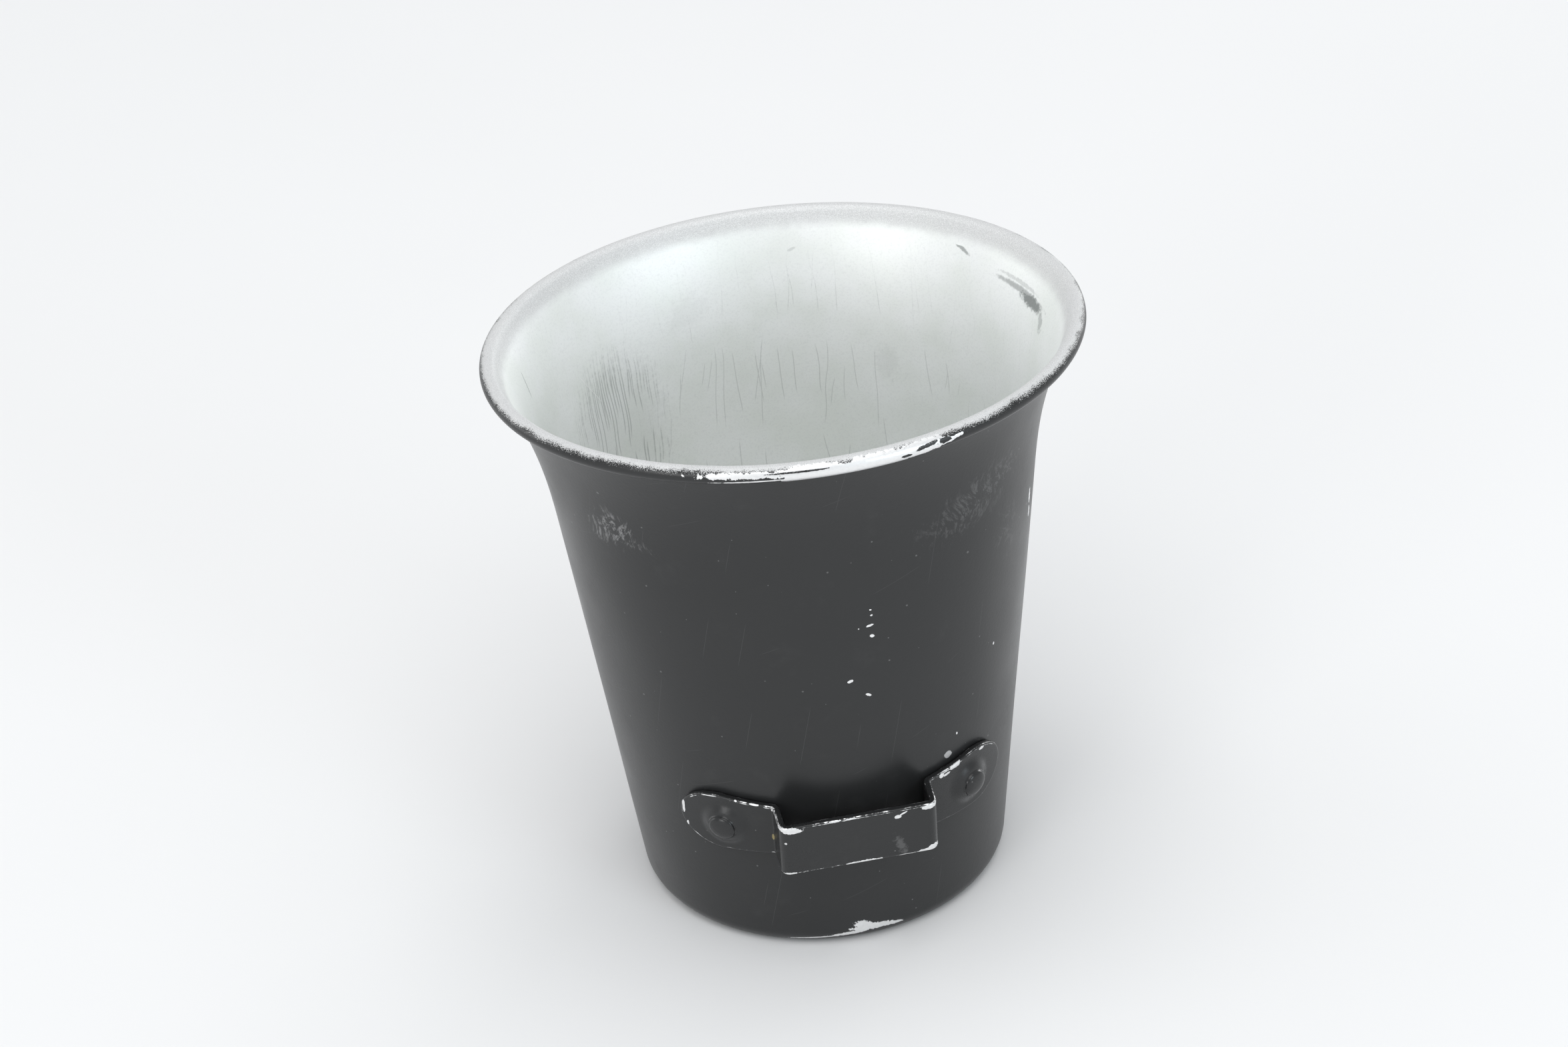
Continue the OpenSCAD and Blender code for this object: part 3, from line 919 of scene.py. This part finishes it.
# Worn places of the strap's face: x and height from its middle line, half width and half height,
# tilt, raggedness and strength
STRAP_CHIPS = [
    (-10.6, 4.10, 1.7, 0.52, 8, 0.7, 1.0),
    (-11.4, 1.70, 0.20, 0.17, 0, 0.3, 1.0),
    (-3.7, 4.50, 0.9, 0.12, 0, 0.9, 1.0),
    (-1.3, 4.45, 0.9, 0.14, 0, 0.9, 1.0),
    (6.0, 3.25, 0.55, 0.36, 0, 0.6, 1.0),
    (6.9, 3.80, 0.70, 0.14, -25, 0.8, 1.0),
    (11.0, 4.15, 1.3, 0.42, -4, 0.8, 1.0),
    (-10.9, -4.45, 1.0, 0.28, 0, 0.8, 1.0),
    (-8.9, -4.55, 0.20, 0.10, 0, 0.5, 1.0),
    (-4.5, -4.55, 0.16, 0.10, 0, 0.5, 1.0),
    (0.6, -4.50, 2.9, 0.30, 0, 0.8, 1.0),
    (7.1, -4.55, 1.7, 0.14, 0, 0.7, 1.0),
    (10.1, -4.35, 1.5, 0.32, -10, 0.8, 1.0),
    (11.4, -3.95, 0.80, 0.50, 0, 0.7, 1.0),
    (14.3, 4.20, 0.40, 0.40, 0, 0.8, 1.0),
    (15.2, 4.05, 0.70, 0.22, -8, 0.8, 1.0),
    (16.7, 4.70, 0.90, 0.42, -6, 0.7, 1.0),
    (21.6, 4.35, 0.55, 0.22, 15, 0.8, 1.0),
    (-14.8, 4.75, 0.60, 0.13, 3, 0.7, 1.0),
    (-17.4, 4.92, 0.18, 0.12, 0, 0.5, 1.0),
    (-21.0, 4.80, 1.0, 0.09, -12, 0.7, 1.0),
    (-24.6, 0.80, 0.16, 1.3, 0, 0.6, 1.0),
    (-24.2, -2.30, 0.14, 0.5, 0, 0.6, 1.0),
]
STRAP_SCUFFS = [
    (6.3, -2.4, 0.6, 1.6, -20, 1.8, 0.10),
]
YELLOW_MARK = [(-12.4, -1.25, 0.16, 0.55, 0, 0.3, 0.8)]


def strap_material():
    g = Graph("painted_strap")
    off = g.vector("SUBTRACT", g.place, (0, RIVET_Y, STRAP_Z))
    height_up = g.vector("DOT_PRODUCT", off, (0, -math.sin(STRAP_LEAN), math.cos(STRAP_LEAN)))
    where = g.join(g.x, height_up)
    edge_in = g.add("ShaderNodeAttribute", attribute_name="edge_in").outputs["Fac"]
    ragged = g.noise(0.6, 4, 0.7, shift=71)
    spread = g.noise(2.2, 3, 0.65, shift=81)
    sunk = g.add("ShaderNodeAttribute", attribute_name="sunk").outputs["Fac"]
    on_face = g.ramp(g.math("MULTIPLY_ADD", ragged, 0.5, sunk), 0.40, 0.55, 1.0, 0.0)
    chipped = g.math("MULTIPLY", patches(g, where, STRAP_CHIPS, ragged, soft=0.06), on_face)

    # A thin broken line of metal along the edges, wider on the upper ones
    upper = g.ramp(height_up, 2.0, 4.6, -0.04, 0.0)
    width = g.math("ADD", g.math("MULTIPLY_ADD", spread, 0.45, -0.205), upper)
    width = g.math("MULTIPLY_ADD", g.math("SUBTRACT", ragged, 0.5), 0.25, width)
    behind = g.math("ABSOLUTE", g.math("SUBTRACT", sunk, STRAP_T - STRAP_BEVEL / 2))
    line = g.most(
        g.ramp(g.math("SUBTRACT", width, edge_in), -0.02, 0.03),
        g.ramp(g.math("SUBTRACT", g.math("ADD", width, -0.03), behind), -0.02, 0.03, 0.0, 0.7))
    worn = g.most(chipped, line)
    colour, roughness, height = paint_layers(g, STRAP_PAINT_ROUGH)
    colour = g.tint(patches(g, where, STRAP_SCUFFS, ragged, soft=0.5), colour, STRAP_SCUFF)
    colour = g.tint(patches(g, where, YELLOW_MARK, ragged), colour, YELLOW)
    colour, roughness = bare_spot(g, worn, colour, roughness)
    metallic = g.math("MULTIPLY", worn, POLISHED_METALLIC)
    height = g.math("SUBTRACT", height, g.math("MULTIPLY", line, 0.8))
    return g.surface(colour, metallic, roughness, g.bump(height, 0.014), PAINT_SHINE)


def rivet_material():
    g = Graph("painted_rivet")
    # The inner head is bare; the round head outside is painted with the strap
    off = g.vector("LENGTH", g.join(g.x, g.y))
    foot_r = math.hypot(RIVET_X, RIVET_Y)
    worn = g.ramp(g.noise(0.9, 4, 0.7, shift=101), 0.68, 0.72)
    inner = g.ramp(off, foot_r + 0.3, foot_r + 0.6, 1.0, 0.0)
    bare = g.most(worn, inner)
    colour, roughness, height = paint_layers(g, RIVET_PAINT_ROUGH)
    colour, roughness = bare_spot(g, bare, colour, roughness)
    metallic = g.math("MULTIPLY", bare, POLISHED_METALLIC)
    return g.surface(colour, metallic, roughness, g.bump(height, 0.015), PAINT_SHINE)


# ---------------------------------------------------------------- the object

cup = build_cup()
strap = build_strap()
rivet_right = build_rivet("rivet_right_skin", np.ones(3))
rivet_left = build_rivet("rivet_left_skin", MIRROR)

for material in (outside_material(), rim_material(), inside_material()):
    cup.data.materials.append(material)
strap.data.materials.append(strap_material())
rivet_paint = rivet_material()
for rivet in (rivet_left, rivet_right):
    rivet.data.materials.append(rivet_paint)

for skin, node, finish in (
    (cup, "cup_body", "painted_cup"),
    (strap, "strap_loop", "painted_strap"),
    (rivet_left, "rivet_left", "painted_rivet"),
    (rivet_right, "rivet_right", "painted_rivet"),
):
    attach(skin, "root")
    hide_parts(node)

# ---------------------------------------------------------------- floor, light and camera

FLOOR_HALF = 2.5


def make_floor():
    half = FLOOR_HALF
    corners = [(-half, -half, 0), (half, -half, 0), (half, half, 0), (-half, half, 0)]
    mesh = bpy.data.meshes.new("floor")
    mesh.from_pydata(corners, [], [(0, 1, 2, 3)])
    floor = bpy.data.objects.new("floor", mesh)
    bpy.context.collection.objects.link(floor)
    g = Graph("floor_card")
    colour = g.tint(g.noise(90, 2), grey(0.84), grey(0.86))
    g.surface(colour, 0.0, 0.7, g.bump(g.noise(0.6, 2), 0.01))
    mesh.materials.append(g.material)


def around(aside, up, far):
    """A place this far from the cup, aside degrees from the strap side and up degrees above it."""
    aside, up = math.radians(aside), math.radians(up)
    return far * math.sin(aside) * math.cos(up), -far * math.cos(aside) * math.cos(up), far * math.sin(up)


def make_light(name, place, aim, size, watts, colour=(1, 1, 1)):
    data = bpy.data.lights.new(name, "AREA")
    data.color = colour
    data.shape = "RECTANGLE"
    data.size, data.size_y = size
    data.energy = watts
    lamp = bpy.data.objects.new(name, data)
    lamp.location = place
    lamp.rotation_euler = (Vector(aim) - Vector(place)).to_track_quat("-Z", "Y").to_euler()
    bpy.context.collection.objects.link(lamp)


def make_sky():
    world = bpy.data.worlds.new("light_tent")
    world.use_nodes = True
    background = world.node_tree.nodes["Background"]
    background.inputs["Color"].default_value = (0.96, 0.98, 1.0, 1.0)
    background.inputs["Strength"].default_value = 0.68
    bpy.context.scene.world = world


def make_camera():
    """A long lens from the front, a little to the left, looking down on the mouth."""
    unit = float(RIM_Z) * MM
    down, roll, aside = math.radians(32.366), math.radians(4.958), math.radians(8.605)
    far, shift_right, shift_up = 7.8057 * unit, -0.0242 * unit, 0.1219 * unit
    ahead = Vector((0, math.cos(down), -math.sin(down)))
    right = Vector((1, 0, 0))
    up = right.cross(ahead)
    place = Vector((0, 0, unit / 2)) - far * ahead + right * shift_right + up * shift_up
    x_axis = math.cos(roll) * right - math.sin(roll) * up
    y_axis = math.sin(roll) * right + math.cos(roll) * up
    axes = Matrix((x_axis, y_axis, -ahead)).transposed().to_4x4()
    data = bpy.data.cameras.new("camera")
    data.lens = 107.28
    data.sensor_fit = "HORIZONTAL"
    data.sensor_width = 36.0
    camera = bpy.data.objects.new("camera", data)
    camera.matrix_world = Matrix.Rotation(-aside, 4, "Z") @ Matrix.Translation(place) @ axes
    bpy.context.collection.objects.link(camera)
    bpy.context.scene.camera = camera


COOL = (0.82, 0.93, 1.0)

make_floor()
make_sky()
make_light("soft_front", around(-10, 60, 1.4), (0, 0.1, 0), (0.9, 0.7), 4)
make_light("soft_top", (0, 0, 1.3), (0, 0, 0), (0.7, 0.7), 3.2)
make_light("soft_front_right", around(35, 18, 1.2), (0, 0, 0.06), (0.4, 0.4), 2.2, COOL)
make_light("soft_front_left", around(-45, 18, 1.2), (0, 0, 0.06), (0.4, 0.4), 2.1)
make_light("soft_right", around(130, 8, 1.2), (0, 0, 0.06), (0.6, 0.6), 4)
make_light("soft_left", around(-110, 12, 1.2), (0, 0, 0.06), (0.6, 0.6), 2)
make_camera()
bpy.context.scene.view_settings.view_transform = "Standard"
